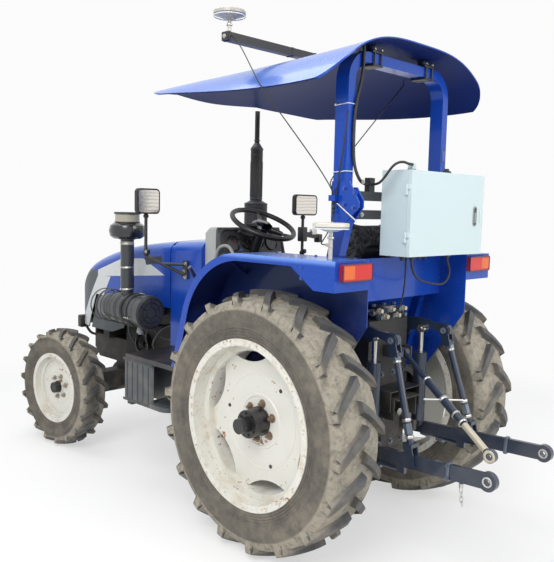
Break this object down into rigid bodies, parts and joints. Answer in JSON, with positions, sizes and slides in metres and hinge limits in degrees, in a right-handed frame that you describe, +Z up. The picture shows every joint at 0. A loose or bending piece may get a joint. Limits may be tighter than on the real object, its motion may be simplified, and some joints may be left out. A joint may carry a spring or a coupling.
{
  "type": "farm tractor",
  "caption": "Compact four-wheel-drive farm tractor with two-post roll bar, sun canopy, rear three-point hitch, satellite guidance receivers and a control cabinet.",
  "frame": {"origin": "middle of the footprint box, on the ground", "axes": "+X forward, +Y to the driver's left, +Z up"},
  "size_m": [3.2797, 1.41, 2.45],
  "materials": {
    "blue_paint": "gloss",
    "black_paint": "satin",
    "cream_paint": "satin",
    "grey_paint": "satin",
    "cast_black": "matte",
    "steel": "satin",
    "tyre": "dusty",
    "black_plastic": "matte",
    "grey_plastic": "matte",
    "white_plastic": "gloss",
    "red_plastic": "gloss",
    "rubber": "matte",
    "fabric": "woven",
    "mirror": "polished"
  },
  "bodies": {
    "chassis": {"transmission_housing": "cast_black", "hitch_brackets": "cast_black", "engine_block": "cast_black", "radiator": "steel", "front_frame": "black_paint", "front_axle_beam": "cast_black", "side_panels": "grey_plastic", "cowl": "blue_paint", "dash": "grey_plastic", "steering_column": "black_plastic", "platform": "black_paint", "steps": "grey_plastic", "fenders": "blue_paint", "tail_lamps": "red_plastic", "seat_deck": "blue_paint", "seat_base": "black_paint", "seat_cushion": "fabric", "seat_back": "fabric", "rops_legs": "blue_paint", "rops_hoop": "blue_paint", "canopy": "blue_paint", "gnss_boom": "black_paint", "gnss_antennas": "white_plastic", "cabinet_body": "grey_paint", "cabinet_bracket": "black_paint", "air_cleaner": "black_plastic", "exhaust_stack": "black_paint", "mirrors": "black_plastic", "mirror_glasses": "mirror", "drawbar": "black_paint", "spool_valves": "cast_black", "antenna_cable": "rubber", "canopy_cable": "rubber", "post_cable": "rubber", "post_loom": "rubber", "cabinet_conduit": "rubber", "cabinet_hose": "rubber", "valve_hose": "rubber"},
    "rear_wheel_left": {"rear_rim_left": "cream_paint", "rear_tyre_left": "tyre"},
    "rear_wheel_right": {"rear_rim_right": "cream_paint", "rear_tyre_right": "tyre"},
    "front_knuckle_left": {"knuckle_left": "cast_black"},
    "front_knuckle_right": {"knuckle_right": "cast_black"},
    "front_wheel_left": {"front_rim_left": "cream_paint", "front_tyre_left": "tyre"},
    "front_wheel_right": {"front_rim_right": "cream_paint", "front_tyre_right": "tyre"},
    "track_rod": {"tie_rod": "black_paint"},
    "hood_assembly": {"hood": "blue_paint", "grille": "grey_plastic"},
    "steering_handwheel": {"steering_wheel": "black_plastic"},
    "door": {"cabinet_door": "grey_paint"},
    "rockshaft": {"lift_arms": "black_paint"},
    "lift_rod_pair": {"lift_rods": "black_paint"},
    "lower_link_pair": {"lower_links": "black_paint"},
    "upper_link": {"top_link": "black_paint"},
    "ram_barrel_pair": {"ram_barrels": "black_paint"},
    "ram_rod_pair": {"ram_rods": "steel"},
    "pto": {"pto_shaft": "steel"}
  },
  "joints": [
    {"name": "rear_wheel_left_spin", "type": "hinge", "parent": "chassis", "child": "rear_wheel_left", "pos_m": [-0.65697, 0.545, 0.59], "axis": [0, 1, 0], "continuous": true},
    {"name": "rear_wheel_right_spin", "type": "hinge", "parent": "chassis", "child": "rear_wheel_right", "pos_m": [-0.65697, -0.545, 0.59], "axis": [0, 1, 0], "continuous": true},
    {"name": "steer_left", "type": "hinge", "parent": "chassis", "child": "front_knuckle_left", "pos_m": [1.25803, 0.4, 0.372], "axis": [0, 0, 1], "range_deg": [-43, 31]},
    {"name": "steer_right", "type": "hinge", "parent": "chassis", "child": "front_knuckle_right", "pos_m": [1.25803, -0.4, 0.372], "axis": [0, 0, 1], "range_deg": [-43, 31]},
    {"name": "track_rod_shift", "type": "slide", "parent": "chassis", "child": "track_rod", "axis": [0, 1, 0], "range_m": [-0.07095, 0.09803]},
    {"name": "front_wheel_left_spin", "type": "hinge", "parent": "front_knuckle_left", "child": "front_wheel_left", "pos_m": [1.24706, 0.50443, 0.372], "axis": [-0.1045, 0.9945, 0], "continuous": true},
    {"name": "front_wheel_right_spin", "type": "hinge", "parent": "front_knuckle_right", "child": "front_wheel_right", "pos_m": [1.26901, -0.50443, 0.372], "axis": [-0.1045, 0.9945, 0], "continuous": true},
    {"name": "steering_wheel_spin", "type": "hinge", "parent": "chassis", "child": "steering_handwheel", "pos_m": [-0.05697, 0, 1.452], "axis": [-0.4226, 0, 0.9063], "continuous": true},
    {"name": "hood_hinge", "type": "hinge", "parent": "chassis", "child": "hood_assembly", "pos_m": [0.44803, 0, 1.314], "axis": [0, -1, 0], "range_deg": [0, 60]},
    {"name": "cabinet_door_hinge", "type": "hinge", "parent": "chassis", "child": "door", "pos_m": [-1.11697, 0.171, 1.529], "axis": [0, 0, -1], "range_deg": [0, 110]},
    {"name": "lift", "type": "hinge", "parent": "chassis", "child": "rockshaft", "pos_m": [-0.86697, 0, 0.97], "axis": [0, 1, 0], "range_deg": [-30, 45]},
    {"name": "lift_rod_swing", "type": "hinge", "parent": "rockshaft", "child": "lift_rod_pair", "pos_m": [-1.10676, 0, 0.98005], "axis": [0, 1, 0], "range_deg": [-43.92, 29.45]},
    {"name": "lower_link_lift", "type": "hinge", "parent": "chassis", "child": "lower_link_pair", "pos_m": [-0.71697, 0, 0.46], "axis": [0, 1, 0], "range_deg": [-12.5, 18.65]},
    {"name": "top_link_swing", "type": "hinge", "parent": "chassis", "child": "upper_link", "pos_m": [-1.01697, 0, 0.887], "axis": [0, 1, 0], "range_deg": [-19.1, 28.55]},
    {"name": "ram_swing", "type": "hinge", "parent": "chassis", "child": "ram_barrel_pair", "pos_m": [-0.98697, 0, 0.51], "axis": [0, 1, 0], "range_deg": [-1.3, 1.9]},
    {"name": "ram_stroke", "type": "slide", "parent": "ram_barrel_pair", "child": "ram_rod_pair", "axis": [0, 0, 1], "range_m": [-0.05862, 0.08768]},
    {"name": "pto_spin", "type": "hinge", "parent": "chassis", "child": "pto", "pos_m": [-0.92697, 0, 0.6], "axis": [-1, 0, 0], "continuous": true}
  ],
  "couplings": [
    {"joint": "steer_right", "follows": "steer_left", "ratio": 1},
    {"joint": "track_rod_shift", "follows": "steer_left", "m_per_rad": -0.12929},
    {"joint": "lift_rod_swing", "follows": "lift", "ratio": -0.965},
    {"joint": "lower_link_lift", "follows": "lift", "ratio": 0.41},
    {"joint": "top_link_swing", "follows": "lift", "ratio": 0.63},
    {"joint": "ram_swing", "follows": "lift", "ratio": 0.04},
    {"joint": "ram_stroke", "follows": "lift", "m_per_rad": 0.111}
  ]
}
